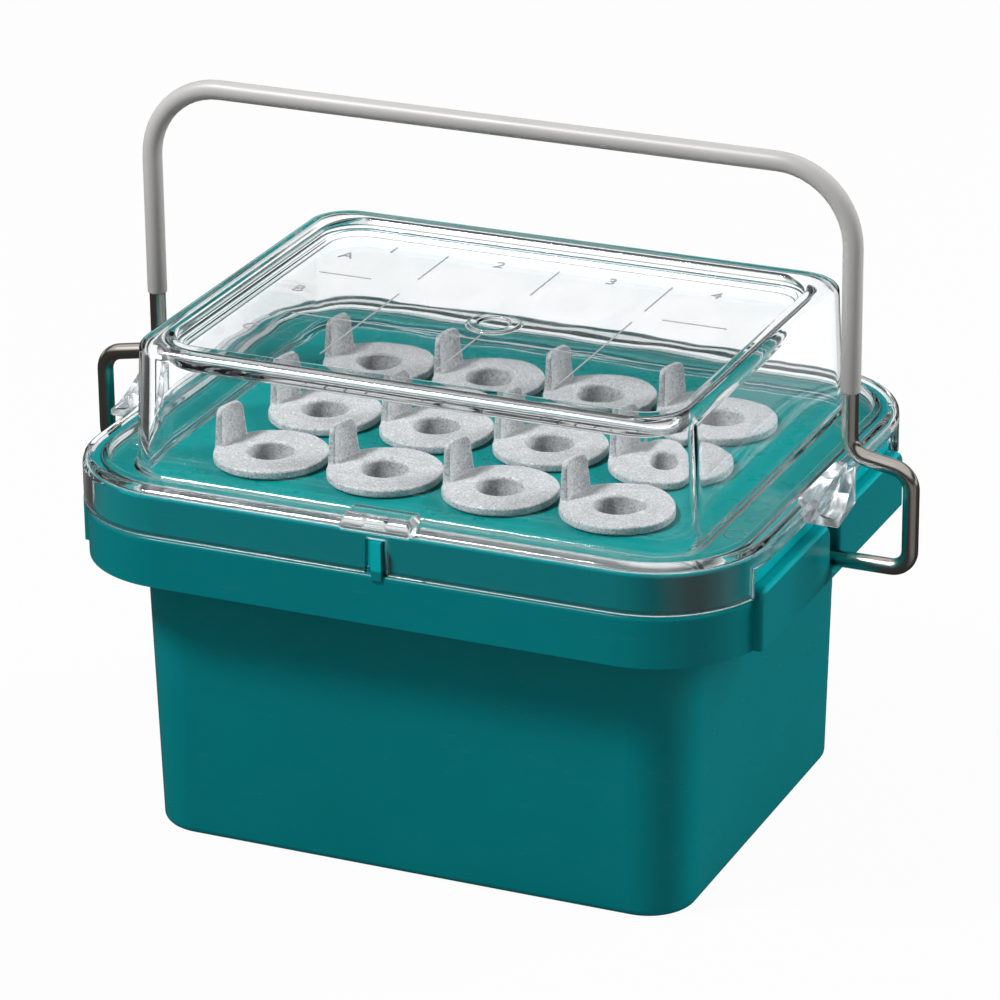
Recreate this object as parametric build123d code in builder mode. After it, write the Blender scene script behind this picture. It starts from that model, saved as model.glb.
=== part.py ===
"""Benchtop cooler: an insulated tub with twelve tube wells, a clear lid and a swing handle.

The frame: +Z up, +X along the long side, the origin at the middle of the face that the
cooler stands on, the front towards -Y. All lengths are millimetres.
"""
import os
from math import cos, radians, sin

from build123d import *

os.makedirs("parts", exist_ok=True)

# Tube pattern
column_count = 4
row_count = 3
pitch = 28.5

# Tube holder: a flanged sleeve with a thumb tab, one to each well
tube_bore_r = 5.45
bore_lip_r = 0.8
sleeve_wall = 1.35
sleeve_length = 10.0
flange_r = 13.3
flange_thickness = 2.1
flange_edge_r = 0.5
tab_thickness = 1.7
tab_height = 8.6
tab_width = 11.4
tab_direction = 165.0
tab_lean = 14.0
tab_corner_r = 2.4
holder_gap = 0.3

# Wells and the gel around them
well_depth = 42.0
well_wall = 1.2
well_floor = 1.4
well_bottom_r = 2.0
gel_gap = 0.4
gel_headroom = 4.0

# Tub body: its walls stand round the outermost wells
wall_past_wells_x = 23.35
wall_past_wells_y = 23.7
body_corner_r = 11.5
body_lean = 1.8
body_edge_r = 1.8
body_wall = 2.6
floor_thickness = 3.0
foot_width = 6.0
foot_height = 1.2

# Tub rim: the apron hangs outside the body, and the rim wall stands inside the lid
skirt_z = 67.1
skirt_height = 12.0
skirt_wall = 2.4
skirt_step = 1.6
skirt_edge_r = 1.1
rim_overhang_x = 14.4
rim_overhang_y = 11.2
rim_corner_r = 24.5
rim_wall = 1.9
rim_height = 9.5
rim_edge_r = 0.6
shelf_thickness = 2.6

# Deck
deck_thickness = 2.4
deck_drop = 1.8
deck_edge_gap = 0.05

# Side cheeks that carry the handle
cheek_length = 92.0
cheek_proud = 1.2
cheek_rise = 2.0
cheek_end_r = 4.0
cheek_edge_r = 1.0
pivot_block_width = 12.0
slot_width = 5.8
slot_corner_r = 3.4
pin_gap = 0.05
pin_end_gap = 0.6

# Front rib that keys the lid
rib_width = 2.5
rib_height = 8.0
rib_recess = 0.3

# Lid
lid_gap = 0.45
lid_wall = 1.9
lid_seat_gap = 0.3
lid_skirt_gap = 0.4
lid_top_wall = 2.2
ridge_leg = 1.6
ridge_outer_r = 2.4
ridge_inner_r = 1.0
lid_flange = 2.1
notch_width = 5.0
notch_height = 8.3
side_notch_gap = 0.5
side_notch_drop = 4.8
dome_set_in_x = 12.0
dome_set_in_y = 9.4
dome_corner_r = 10.5
dome_height = 32.2
dome_lean = 1.5
dome_wall = 2.3
dome_foot_r = 1.5
bead_width = 6.2
bead_step = 1.8
bead_step_depth = 2.4
bead_height = 3.7
bead_edge_r = 2.2
panel_corner_r = 7.5
roof_wall = 2.2
gate_disc_r = 6.2
gate_disc_height = 0.5
gate_dimple_r = 3.6

# Hood over the front key
hood_width = 17.0
hood_depth = 7.4
hood_height = 3.6
hood_rise = 1.6
hood_edge_r = 1.0

# Lid ears, one in front of each handle leg
ear_length = 15.0
ear_gap = 0.8
ear_reach = 7.6
ear_top_reach = 6.0
ear_root = 2.4
ear_top_root = 1.0
ear_rise = 4.8
ear_nose = 1.8
ear_hollow = 1.6
ear_block_reach = 2.8
ear_block_rise = 1.3
ear_edge_r = 0.5

# Handle
wire_r = 1.9
pivot_above_skirt = 4.3
leg_gap = 1.0
loop_reach = 14.7
jog_rise = 25.8
jog_drop = 2.6
bar_rise = 91.9
bar_corner_r = 18.0
jog_corner_r = 5.0
loop_corner_r = 4.4
pin_length = 6.0
grip_wall = 0.36
grip_gap = 0.04
grip_start = 40.4

# Fill plug under the floor
plug_shank_r = 4.9
plug_head_r = 7.0
plug_head_thickness = 0.8
plug_shank_length = 4.2
plug_gap = 0.05
plug_chamfer = 0.4

# How close a face or an edge must lie to a height to be picked there
level_tolerance = 0.01

# Levels worked out from the sizes above
shoulder_z = skirt_z + skirt_height
rim_top = shoulder_z + rim_height
deck_top = rim_top - deck_drop
deck_bottom = deck_top - deck_thickness
shelf_bottom = deck_bottom - shelf_thickness
floor_bottom = foot_height
floor_top = floor_bottom + floor_thickness
pivot_z = skirt_z + pivot_above_skirt
lid_bottom = deck_top + lid_seat_gap
lid_skirt_z = shoulder_z + lid_skirt_gap
channel_top = rim_top + lid_gap
crest_z = channel_top + lid_top_wall
dome_top = lid_bottom + dome_height
panel_z = dome_top - bead_height
roof_bottom = panel_z - roof_wall
roof_lean = dome_lean * (roof_bottom - lid_bottom) / dome_height
well_bottom = deck_top - well_depth - well_floor
holder_bottom = deck_top + holder_gap
holder_top = holder_bottom + flange_thickness

# Plan sizes worked out from the sizes above
body_x = (column_count - 1) * pitch + 2 * wall_past_wells_x
body_y = (row_count - 1) * pitch + 2 * wall_past_wells_y
rim_x = body_x + 2 * rim_overhang_x
rim_y = body_y + 2 * rim_overhang_y
skirt_x = rim_x + 2 * skirt_step
skirt_y = rim_y + 2 * skirt_step
skirt_corner_r = rim_corner_r + skirt_step
cheek_x = skirt_x + 2 * cheek_proud
lid_x = rim_x + 2 * (lid_gap + lid_wall)
lid_y = rim_y + 2 * (lid_gap + lid_wall)
lid_corner_r = rim_corner_r + lid_gap + lid_wall
channel_width = rim_wall + 2 * lid_gap
ridge_width = lid_wall + channel_width + ridge_leg
dome_x = rim_x - 2 * dome_set_in_x
dome_y = rim_y - 2 * dome_set_in_y
panel_x = dome_x - 2 * (dome_lean + bead_width + bead_step)
panel_y = dome_y - 2 * (dome_lean + bead_width + bead_step)
sleeve_r = tube_bore_r + sleeve_wall
well_r = sleeve_r + holder_gap
slot_floor_x = skirt_x / 2 - skirt_wall
cheek_top = shoulder_z + cheek_rise
side_notch_length = cheek_length + 2 * side_notch_gap
side_notch_z = crest_z - side_notch_drop
leg_half_spacing = cheek_x / 2 + leg_gap + wire_r
loop_half_spacing = leg_half_spacing + loop_reach
ear_back_y = -(wire_r + ear_gap)
ear_front_y = ear_back_y - ear_length
well_grid = GridLocations(pitch, pitch, column_count, row_count)
row_letters = "cba"
first_well_x = -(column_count - 1) / 2 * pitch
first_well_y = -(row_count - 1) / 2 * pitch
well_places = [
    (f"{row_letters[row]}{column + 1}", (first_well_x + column * pitch, first_well_y + row * pitch))
    for row in range(row_count)
    for column in range(column_count)
]


def lean_at(z):
    """How far each side of the tub body leans out at the height z."""
    return body_lean * z / skirt_z


def at_level(shapes, z):
    """Keep the faces or edges whose centre lies at the height z."""
    return shapes.filter_by_position(Axis.Z, z - level_tolerance, z + level_tolerance)


def rounded(length, width, corner, inset, mode=Mode.ADD):
    """Draw a rounded rectangle that is moved in by the inset on every side."""
    RectangleRounded(length - 2 * inset, width - 2 * inset, corner - inset, mode=mode)


def body_outline(z, inset):
    """Draw the tub body's outline at the height z, moved in by the inset."""
    rounded(body_x, body_y, body_corner_r, inset - lean_at(z))


def finish(piece, name):
    """Label a finished piece and write it."""
    piece.part.label = name
    export_step(piece.part, f"parts/{name}.step")


# Cheek: the thick wall with the pin's slot, drawn for the right side
with BuildPart() as cheek:
    with BuildSketch(Plane.YZ.offset(slot_floor_x)):
        with Locations((0, (skirt_z + cheek_top) / 2)):
            Rectangle(cheek_length, cheek_top - skirt_z)
        with Locations((0, (pivot_z + cheek_top) / 2)):
            Rectangle(slot_width, cheek_top - pivot_z, mode=Mode.SUBTRACT)
        with Locations((0, pivot_z)):
            Circle(slot_width / 2, mode=Mode.SUBTRACT)
        upper = vertices().group_by(Axis.Y)[-1]
        fillet(upper.filter_by(lambda corner: abs(corner.X) > slot_width), cheek_end_r)
        upper = vertices().group_by(Axis.Y)[-1]
        fillet(upper.filter_by(lambda corner: abs(corner.X) < slot_width), slot_corner_r)
    extrude(amount=cheek_x / 2 - slot_floor_x)
    outer_edges = cheek.faces().sort_by(Axis.X)[-1].edges()
    fillet(outer_edges.sort_by(Axis.Z)[1:], cheek_edge_r)

# Tub: the body, the shelf, the apron and the rim wall in one moulding
with BuildPart() as tub:
    with BuildSketch(Plane.XY):
        body_outline(0, 0)
    with BuildSketch(Plane.XY.offset(shelf_bottom)):
        body_outline(shelf_bottom, 0)
    loft(ruled=True)
    fillet(tub.faces().sort_by(Axis.Z)[0].edges(), body_edge_r)

    # Shelf that carries the deck
    with BuildSketch(Plane.XY.offset(shelf_bottom)):
        rounded(rim_x, rim_y, rim_corner_r, 0)
    extrude(amount=shelf_thickness)

    # Rim wall: it stands above the deck and reaches down past the shoulder
    with BuildSketch(Plane.XY.offset(shoulder_z - skirt_wall)):
        rounded(rim_x, rim_y, rim_corner_r, 0)
        rounded(rim_x, rim_y, rim_corner_r, rim_wall, Mode.SUBTRACT)
    extrude(amount=rim_height + skirt_wall)
    fillet(tub.faces().sort_by(Axis.Z)[-1].edges(), rim_edge_r)

    # Apron below the lid, with a rounded shoulder
    with BuildSketch(Plane.XY.offset(skirt_z)):
        rounded(skirt_x, skirt_y, skirt_corner_r, 0)
        rounded(skirt_x, skirt_y, skirt_corner_r, skirt_wall, Mode.SUBTRACT)
    extrude(amount=skirt_height)
    ledge = at_level(tub.faces().filter_by(Plane.XY), shoulder_z).sort_by(SortBy.AREA)[-1]
    fillet(ledge.outer_wire().edges(), skirt_edge_r)

    # Cheeks on the short sides, each in a window of the apron
    for side in (-1, 1):
        with Locations((side * (slot_floor_x + skirt_wall), 0, skirt_z)):
            Box(
                2 * skirt_wall,
                cheek_length,
                skirt_height + skirt_wall,
                align=(Align.CENTER, Align.CENTER, Align.MIN),
                mode=Mode.SUBTRACT,
            )
    add(cheek.part)
    add(mirror(cheek.part, about=Plane.YZ, mode=Mode.PRIVATE))

    # Pivot blocks between the body and the cheeks
    for side in (-1, 1):
        with Locations((side * (slot_floor_x + body_x / 2) / 2, 0, skirt_z)):
            Box(
                slot_floor_x - body_x / 2,
                pivot_block_width,
                shelf_bottom - skirt_z,
                align=(Align.CENTER, Align.CENTER, Align.MIN),
            )

    # Key rib at the middle of the front
    with Locations((0, -lid_y / 2 + rib_recess, shoulder_z - skirt_edge_r)):
        Box(
            rib_width,
            lid_wall + lid_gap,
            rib_height + skirt_edge_r,
            align=(Align.CENTER, Align.MIN, Align.MIN),
        )

    # Hollow for the gel, opening for the deck, and the recess under the foot
    with BuildSketch(Plane.XY.offset(floor_top)):
        body_outline(floor_top, body_wall)
    with BuildSketch(Plane.XY.offset(deck_bottom)):
        body_outline(deck_bottom, body_wall)
    loft(ruled=True, mode=Mode.SUBTRACT)
    with BuildSketch(Plane.XY):
        body_outline(0, foot_width)
    extrude(amount=foot_height, mode=Mode.SUBTRACT)

    # Bores for the fill plug and the handle's pins
    with BuildSketch(Plane.XY):
        Circle(plug_shank_r + plug_gap)
    extrude(amount=floor_top, mode=Mode.SUBTRACT)
    for side in (-1, 1):
        with BuildSketch(Plane.YZ.offset(side * slot_floor_x)):
            with Locations((0, pivot_z)):
                Circle(wire_r + pin_gap)
        extrude(amount=-side * (pin_length + pin_end_gap), mode=Mode.SUBTRACT)
finish(tub, "tub")

# Deck: the plate that closes the tub and holds the wells
with BuildPart() as deck:
    with BuildSketch(Plane.XY.offset(deck_bottom)):
        rounded(rim_x, rim_y, rim_corner_r, rim_wall + deck_edge_gap)
        with well_grid:
            Circle(well_r, mode=Mode.SUBTRACT)
    extrude(amount=deck_thickness)
finish(deck, "deck")

# Wells: closed cups under the deck, one in each place of the pattern
for name, place in well_places:
    with BuildPart() as well:
        with BuildSketch(Plane.XY.offset(well_bottom)):
            with Locations(place):
                Circle(well_r + well_wall)
        extrude(amount=deck_bottom - well_bottom)
        fillet(well.faces().sort_by(Axis.Z)[0].edges(), well_bottom_r)
        with BuildSketch(Plane.XY.offset(well_bottom + well_floor)):
            with Locations(place):
                Circle(well_r)
        extrude(amount=well_depth, mode=Mode.SUBTRACT)
    finish(well, f"well_{name}")

# Gel: it fills the tub around the wells
with BuildPart() as gel_core:
    gel_top = deck_bottom - gel_headroom
    with BuildSketch(Plane.XY.offset(floor_top)):
        body_outline(floor_top, body_wall + gel_gap)
    with BuildSketch(Plane.XY.offset(gel_top)):
        body_outline(gel_top, body_wall + gel_gap)
    loft(ruled=True)
    with BuildSketch(Plane.XY.offset(well_bottom - gel_gap)):
        with well_grid:
            Circle(well_r + well_wall + gel_gap)
    extrude(amount=gel_top - well_bottom + 2 * gel_gap, mode=Mode.SUBTRACT)
    with BuildSketch(Plane.XY.offset(floor_top)):
        Circle(plug_shank_r + gel_gap)
    extrude(amount=plug_shank_length - floor_thickness + gel_gap, mode=Mode.SUBTRACT)
finish(gel_core, "gel_core")

# Fill plug: pressed up into the floor from below
with BuildPart() as fill_plug:
    with BuildSketch(Plane.XY.offset(floor_bottom - plug_head_thickness)):
        Circle(plug_head_r)
    extrude(amount=plug_head_thickness)
    with BuildSketch(Plane.XY.offset(floor_bottom)):
        Circle(plug_shank_r)
    extrude(amount=plug_shank_length)
    chamfer(fill_plug.faces().sort_by(Axis.Z)[-1].edges(), plug_chamfer)
finish(fill_plug, "fill_plug")

# Ear: a block on the lid with a hollow ramp at its outer side, in front of a handle leg, drawn for the right
ear_nose_point = (ear_front_y, side_notch_z + ear_nose)
ear_peak_point = (ear_back_y, crest_z + ear_rise)
with BuildPart() as ear:
    with BuildSketch(Plane.YZ.offset(lid_x / 2 - ear_root)):
        with BuildLine():
            Line((ear_front_y, side_notch_z), ear_nose_point)
            SagittaArc(ear_nose_point, ear_peak_point, -ear_hollow)
            Line(ear_peak_point, (ear_back_y, side_notch_z))
            Line((ear_back_y, side_notch_z), (ear_front_y, side_notch_z))
        make_face()
    extrude(amount=ear_root + ear_reach)
    with BuildSketch(Plane.YZ.offset(lid_x / 2 - ear_root)):
        with BuildLine():
            Polyline(
                (ear_front_y, side_notch_z),
                (ear_front_y, crest_z + ear_block_rise),
                ear_peak_point,
                (ear_back_y, side_notch_z),
                close=True,
            )
        make_face()
    extrude(amount=ear_root + ear_block_reach)
    with BuildSketch(Plane.XY.offset(side_notch_z)):
        with BuildLine():
            Polyline(
                (lid_x / 2 - ear_root, ear_front_y),
                (lid_x / 2 + ear_reach, ear_front_y),
                (lid_x / 2 + ear_top_reach, ear_back_y),
                (lid_x / 2 + ear_top_root, ear_back_y),
                close=True,
            )
        make_face()
    extrude(amount=dome_height, mode=Mode.INTERSECT)
    fillet(ear.faces().sort_by(Axis.Y)[0].edges().sort_by(Axis.Z)[1:], ear_edge_r)

# Lid: skirt, ridge, flange, dome, hood and ears in one clear moulding
with BuildPart() as lid:
    with BuildSketch(Plane.XY.offset(lid_skirt_z)):
        rounded(lid_x, lid_y, lid_corner_r, 0)
    extrude(amount=crest_z - lid_skirt_z)
    fillet(lid.faces().sort_by(Axis.Z)[-1].edges(), ridge_outer_r)
    with BuildSketch(Plane.XY.offset(lid_skirt_z)):
        rounded(lid_x, lid_y, lid_corner_r, ridge_width)
    extrude(amount=crest_z - lid_skirt_z, mode=Mode.SUBTRACT)
    fillet(lid.faces().sort_by(Axis.Z)[-1].inner_wires()[0].edges(), ridge_inner_r)

    # Hood over the front key
    with Locations((0, -lid_y / 2, crest_z - hood_height)):
        Box(hood_width, hood_depth, hood_height + hood_rise, align=(Align.CENTER, Align.MIN, Align.MIN))
    fillet(lid.faces().sort_by(Axis.Z)[-1].edges(), hood_edge_r)

    # Ears on the short sides
    add(ear.part)
    add(mirror(ear.part, about=Plane.YZ, mode=Mode.PRIVATE))

    # Inside of the skirt, and the channel that the rim wall stands in
    with BuildSketch(Plane.XY.offset(lid_skirt_z)):
        rounded(lid_x, lid_y, lid_corner_r, lid_wall)
    extrude(amount=lid_bottom - lid_skirt_z, mode=Mode.SUBTRACT)
    with BuildSketch(Plane.XY.offset(lid_bottom)):
        rounded(lid_x, lid_y, lid_corner_r, lid_wall)
        rounded(lid_x, lid_y, lid_corner_r, lid_wall + channel_width, Mode.SUBTRACT)
    extrude(amount=channel_top - lid_bottom, mode=Mode.SUBTRACT)

    # Flange from the ridge to the dome
    with BuildSketch(Plane.XY.offset(lid_bottom)):
        rounded(lid_x, lid_y, lid_corner_r, lid_wall + channel_width)
    extrude(amount=lid_flange)

    # Dome, with a bead around a sunk panel
    with BuildSketch(Plane.XY.offset(lid_bottom)):
        rounded(dome_x, dome_y, dome_corner_r, 0)
    with BuildSketch(Plane.XY.offset(dome_top)):
        rounded(dome_x, dome_y, dome_corner_r, dome_lean)
    loft(ruled=True)
    fillet(lid.faces().sort_by(Axis.Z)[-1].edges(), bead_edge_r)
    flange_face = at_level(lid.faces().filter_by(Plane.XY), lid_bottom + lid_flange).sort_by(SortBy.AREA)[-1]
    fillet(flange_face.inner_wires()[0].edges(), dome_foot_r)
    with BuildSketch(Plane.XY.offset(dome_top)):
        rounded(panel_x, panel_y, panel_corner_r, -bead_step)
    extrude(amount=-bead_step_depth, mode=Mode.SUBTRACT)
    with BuildSketch(Plane.XY.offset(dome_top)):
        rounded(panel_x, panel_y, panel_corner_r, 0)
    extrude(amount=-bead_height, mode=Mode.SUBTRACT)
    with BuildSketch(Plane.XY.offset(panel_z)):
        Circle(gate_disc_r)
        Circle(gate_dimple_r, mode=Mode.SUBTRACT)
    extrude(amount=gate_disc_height)
    with BuildSketch(Plane.XY.offset(lid_bottom)):
        rounded(dome_x, dome_y, dome_corner_r, dome_wall)
    with BuildSketch(Plane.XY.offset(roof_bottom)):
        rounded(dome_x, dome_y, dome_corner_r, dome_wall + roof_lean)
    loft(ruled=True, mode=Mode.SUBTRACT)

    # Notches for the front key and for the cheeks
    with Locations((0, -lid_y / 2, lid_skirt_z)):
        Box(
            notch_width,
            2 * lid_wall,
            notch_height,
            align=(Align.CENTER, Align.CENTER, Align.MIN),
            mode=Mode.SUBTRACT,
        )
    for side in (-1, 1):
        with Locations((side * lid_x / 2, 0, lid_skirt_z)):
            Box(
                2 * (lid_wall + channel_width),
                side_notch_length,
                side_notch_z - lid_skirt_z,
                align=(Align.CENTER, Align.CENTER, Align.MIN),
                mode=Mode.SUBTRACT,
            )
finish(lid, "lid")

# Handle: the wire, bent from one pin over the top to the other
wire_points = [
    (slot_floor_x - pin_length, pivot_z),
    (loop_half_spacing, pivot_z),
    (loop_half_spacing, pivot_z + jog_rise - jog_drop),
    (leg_half_spacing, pivot_z + jog_rise),
    (leg_half_spacing, pivot_z + bar_rise),
]
wire_points += [(-x, z) for x, z in reversed(wire_points)]
wire_corners = [loop_corner_r, jog_corner_r, jog_corner_r, bar_corner_r]
wire_corners += wire_corners[::-1]
with BuildPart() as bail_wire:
    with BuildLine(Plane.XZ):
        FilletPolyline(*wire_points, radius=wire_corners)
    with BuildSketch(Plane(origin=(wire_points[0][0], 0, pivot_z), z_dir=(1, 0, 0))):
        Circle(wire_r)
    sweep()
finish(bail_wire, "bail_wire")

# Grip: a sleeve over the legs and the bar
grip_points = [
    (leg_half_spacing, pivot_z + grip_start),
    (leg_half_spacing, pivot_z + bar_rise),
    (-leg_half_spacing, pivot_z + bar_rise),
    (-leg_half_spacing, pivot_z + grip_start),
]
with BuildPart() as bail_grip:
    with BuildLine(Plane.XZ):
        FilletPolyline(*grip_points, radius=bar_corner_r)
    with BuildSketch(Plane.XY.offset(pivot_z + grip_start)):
        with Locations((leg_half_spacing, 0)):
            Circle(wire_r + grip_gap + grip_wall)
            Circle(wire_r + grip_gap, mode=Mode.SUBTRACT)
    sweep()
finish(bail_grip, "bail_grip")

# Thumb tab: an upright strip that follows the edge of a holder's flange
tab_outwards = (cos(radians(tab_direction)), sin(radians(tab_direction)), 0)
tab_across = (-tab_outwards[1], tab_outwards[0], 0)
tab_foot_z = holder_top - flange_edge_r
with BuildPart() as thumb_tab:
    with BuildSketch(Plane.XY.offset(tab_foot_z)):
        Circle(flange_r)
        Circle(flange_r - tab_thickness, mode=Mode.SUBTRACT)
    extrude(amount=tab_height + flange_edge_r)
    with BuildSketch(Plane(origin=(0, 0, tab_foot_z), x_dir=tab_across, z_dir=tab_outwards)):
        Trapezoid(tab_width, tab_height + flange_edge_r, 90 - tab_lean, align=(Align.CENTER, Align.MIN))
        fillet(vertices().group_by(Axis.Y)[-1], tab_corner_r)
    extrude(amount=2 * flange_r, mode=Mode.INTERSECT)

# Tube holders: a flanged sleeve with a thumb tab, one in each well
for name, place in well_places:
    with BuildPart() as holder:
        with BuildSketch(Plane.XY.offset(holder_bottom)):
            with Locations(place):
                Circle(flange_r)
        extrude(amount=flange_thickness)
        fillet(holder.edges().filter_by(GeomType.CIRCLE), flange_edge_r)
        with Locations(place):
            add(thumb_tab.part)
        with BuildSketch(Plane.XY.offset(holder_bottom)):
            with Locations(place):
                Circle(sleeve_r)
        extrude(amount=-sleeve_length)
        with BuildSketch(Plane.XY.offset(holder_bottom - sleeve_length)):
            with Locations(place):
                Circle(tube_bore_r)
        extrude(amount=sleeve_length + flange_thickness, mode=Mode.SUBTRACT)
        upper_circles = at_level(holder.edges().filter_by(GeomType.CIRCLE), holder_top)
        fillet(upper_circles.sort_by(SortBy.RADIUS)[0], bore_lip_r)
    finish(holder, f"insert_{name}")
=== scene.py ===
"""Looks of the benchtop cooler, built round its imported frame.

Sizes are millimetres in the row's frame: +Z up, +X along the long side, the front towards -Y. Meshes
are in metres.
"""

import logging
import math
from dataclasses import dataclass
from enum import Enum
from typing import ClassVar, Mapping, Optional, Sequence, Union

import bmesh
import bpy
import numpy as np
from mathutils import Matrix, Vector


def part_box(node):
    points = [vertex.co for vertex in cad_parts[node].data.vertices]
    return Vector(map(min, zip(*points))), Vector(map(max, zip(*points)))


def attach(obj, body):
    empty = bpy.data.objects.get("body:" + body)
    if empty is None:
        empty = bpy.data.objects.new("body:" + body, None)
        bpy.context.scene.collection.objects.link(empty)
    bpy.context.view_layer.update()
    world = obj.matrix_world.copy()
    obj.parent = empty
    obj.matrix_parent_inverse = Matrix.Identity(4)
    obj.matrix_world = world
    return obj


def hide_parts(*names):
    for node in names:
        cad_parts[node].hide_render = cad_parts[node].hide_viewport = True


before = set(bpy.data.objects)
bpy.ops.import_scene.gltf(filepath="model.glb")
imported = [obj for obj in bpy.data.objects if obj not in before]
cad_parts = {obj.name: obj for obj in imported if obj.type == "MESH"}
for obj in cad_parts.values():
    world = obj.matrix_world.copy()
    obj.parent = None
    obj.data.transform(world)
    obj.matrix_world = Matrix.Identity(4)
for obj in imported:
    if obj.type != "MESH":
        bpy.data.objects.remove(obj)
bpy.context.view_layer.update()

LOG = logging.getLogger("cooler")
MM = 0.001
TINY = 1e-6
SAME_PLACE = 1e-4 * MM
Colour = tuple[float, float, float]
RingRow = tuple[float, float, float, float]
Sockets = Mapping[Union[str, int], object]
Settings = Mapping[str, object]


class Wire:
    """A value inside a material, with the arithmetic that adds Math nodes."""

    def __init__(self, paint: "Paint", socket: bpy.types.NodeSocket) -> None:
        """Keeps the paint that holds a node, and the node's output."""
        self.paint = paint
        self.socket = socket

    def _math(self, operation: str, first: "Value", second: "Value") -> "Wire":
        """Adds one Math node and returns its value."""
        return self.paint.out("ShaderNodeMath", {0: first, 1: second}, {"operation": operation})

    def __add__(self, other: "Value") -> "Wire":
        """Returns the sum with the other value."""
        return self._math("ADD", self, other)

    __radd__ = __add__

    def __mul__(self, other: "Value") -> "Wire":
        """Returns the product with the other value."""
        return self._math("MULTIPLY", self, other)

    __rmul__ = __mul__

    def __rsub__(self, other: "Value") -> "Wire":
        """Returns the other value less this one, such as 1 - mask."""
        return self._math("SUBTRACT", other, self)

    def __gt__(self, other: "Value") -> "Wire":
        """Returns one where this value is the greater, and zero elsewhere."""
        return self._math("GREATER_THAN", self, other)


Value = Union[Wire, int, float]


class Paint:
    """The nodes of one material or world."""

    def __init__(self, owner: Union[bpy.types.Material, bpy.types.World]) -> None:
        """Empties the owner's node tree.

        Args:
            owner: the material or world that is painted.
        """
        owner.use_nodes = True
        self.owner = owner
        self.tree = owner.node_tree
        self.tree.nodes.clear()

    def node(
        self, kind: str, inputs: Optional[Sockets] = None, settings: Optional[Settings] = None
    ) -> bpy.types.Node:
        """Adds one node.

        Args:
            kind: the node's type.
            inputs: values or wires by socket name or number.
            settings: the node's own settings, which are set first.

        Returns:
            The node.
        """
        made = self.tree.nodes.new(kind)
        for key, value in (settings or {}).items():
            setattr(made, key, value)
        for key, value in (inputs or {}).items():
            if isinstance(value, Wire):
                self.tree.links.new(value.socket, made.inputs[key])
            else:
                made.inputs[key].default_value = value
        return made

    def out(
        self,
        kind: str,
        inputs: Optional[Sockets] = None,
        settings: Optional[Settings] = None,
        output: Union[str, int] = 0,
    ) -> Wire:
        """Adds one node, and returns the output of that name or number as a wire."""
        return Wire(self, self.node(kind, inputs, settings).outputs[output])

    def place(self, stretch: Sequence[float] = (1.0, 1.0, 1.0)) -> Wire:
        """Object coordinates, which keep a pattern on its piece, finer by the stretch along each axis."""
        here = self.out("ShaderNodeTexCoord", output="Object")
        return self.out("ShaderNodeMapping", {"Vector": here, "Scale": tuple(stretch)})

    def along(self, stretch: Sequence[float]) -> Wire:
        """The piece's own UV map, in metres round it and along it, finer by the stretch."""
        here = self.out("ShaderNodeUVMap", settings={"uv_map": "UVMap"}, output="UV")
        return self.out("ShaderNodeMapping", {"Vector": here, "Scale": tuple(stretch)})

    def axes(self, where: Wire) -> list[Wire]:
        """Splits coordinates into X, Y and Z."""
        return [Wire(self, axis) for axis in self.node("ShaderNodeSeparateXYZ", {0: where}).outputs]

    def noise(self, where: Wire, size_mm: float, detail: float = 2.0, roughness: float = 0.5) -> Wire:
        """A random value from 0 to 1 in patches of one size, with finer layers of that strength."""
        numbers = {"Vector": where, "Scale": 1.0 / (size_mm * MM), "Detail": detail, "Roughness": roughness}
        return self.out("ShaderNodeTexNoise", numbers, output="Fac")

    def ramp(self, value: Wire, low: float, high: float, start: float = 0.0, end: float = 1.0) -> Wire:
        """Carries the value from low and high to start and end, and stops there."""
        numbers = {"Value": value, "From Min": low, "From Max": high, "To Min": start, "To Max": end}
        return self.out("ShaderNodeMapRange", numbers, {"clamp": True}, "Result")

    def blend(self, share: Value, first: object, second: object) -> Wire:
        """Mixes two colours or wires, by the share of the second."""
        # The Mix node keeps its colours in sockets 6 and 7, and gives their mixture in output 2.
        return self.out("ShaderNodeMix", {0: share, 6: first, 7: second}, {"data_type": "RGBA"}, 2)

    def shades(self, value: Wire, low: float, high: float, first: object, second: object) -> Wire:
        """Goes from the first colour to the second as the value rises from low to high."""
        return self.blend(self.ramp(value, low, high), first, second)

    def bump(self, height: Wire, depth_mm: float, strength: float = 1.0) -> Wire:
        """The normal of a relief: its height from 0 to 1, its depth and how much of it counts."""
        numbers = {"Height": height, "Distance": depth_mm * MM, "Strength": strength}
        return self.out("ShaderNodeBump", numbers)

    def light_path(self, *names: str) -> list[Wire]:
        """The named facts about the ray that is being followed, one wire for each."""
        path = self.node("ShaderNodeLightPath")
        return [Wire(self, path.outputs[name]) for name in names]

    def close(self, kind: str, shade: Wire) -> None:
        """Links the last shader to an output node of that kind."""
        self.tree.links.new(shade.socket, self.node(kind).inputs["Surface"])


WHITE = (1.0, 1.0, 1.0, 1.0)


def rgba(colour: Colour, level: float = 1.0) -> tuple[float, ...]:
    """The colour with full alpha, made darker or lighter by the level."""
    return (*(min(1.0, level * part) for part in colour), 1.0)


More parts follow.
